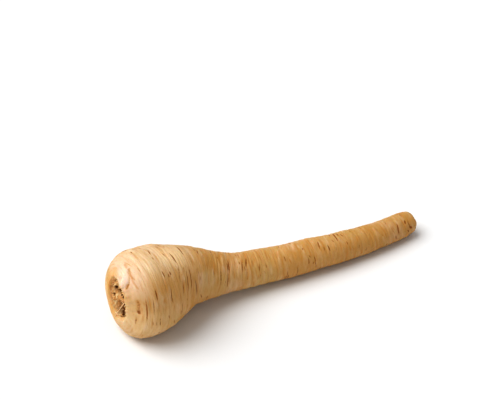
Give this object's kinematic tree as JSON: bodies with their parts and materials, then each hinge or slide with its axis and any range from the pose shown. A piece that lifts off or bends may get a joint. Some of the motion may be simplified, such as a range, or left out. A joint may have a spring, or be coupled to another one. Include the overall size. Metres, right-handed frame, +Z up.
{
  "type": "parsnip",
  "caption": "Pale taproot lying on its side, with a swollen crown end, a hollow holding dried leaf-stalk stubs, ring wrinkles and a long thin tail with a blunt cut end.",
  "frame": {"origin": "middle of the root's box in plan, on the surface it lies on", "axes": "+X from the crown to the tail, +Z up"},
  "size_m": [0.1984, 0.0502, 0.0502],
  "materials": {
    "root_skin": "cream to tan root skin, finely ringed, soft satin",
    "dried_stalk": "brown corky dried leaf stalks, matte"
  },
  "bodies": {
    "root": {"root": "root_skin", "leaf_stubs": "dried_stalk"}
  },
  "joints": []
}
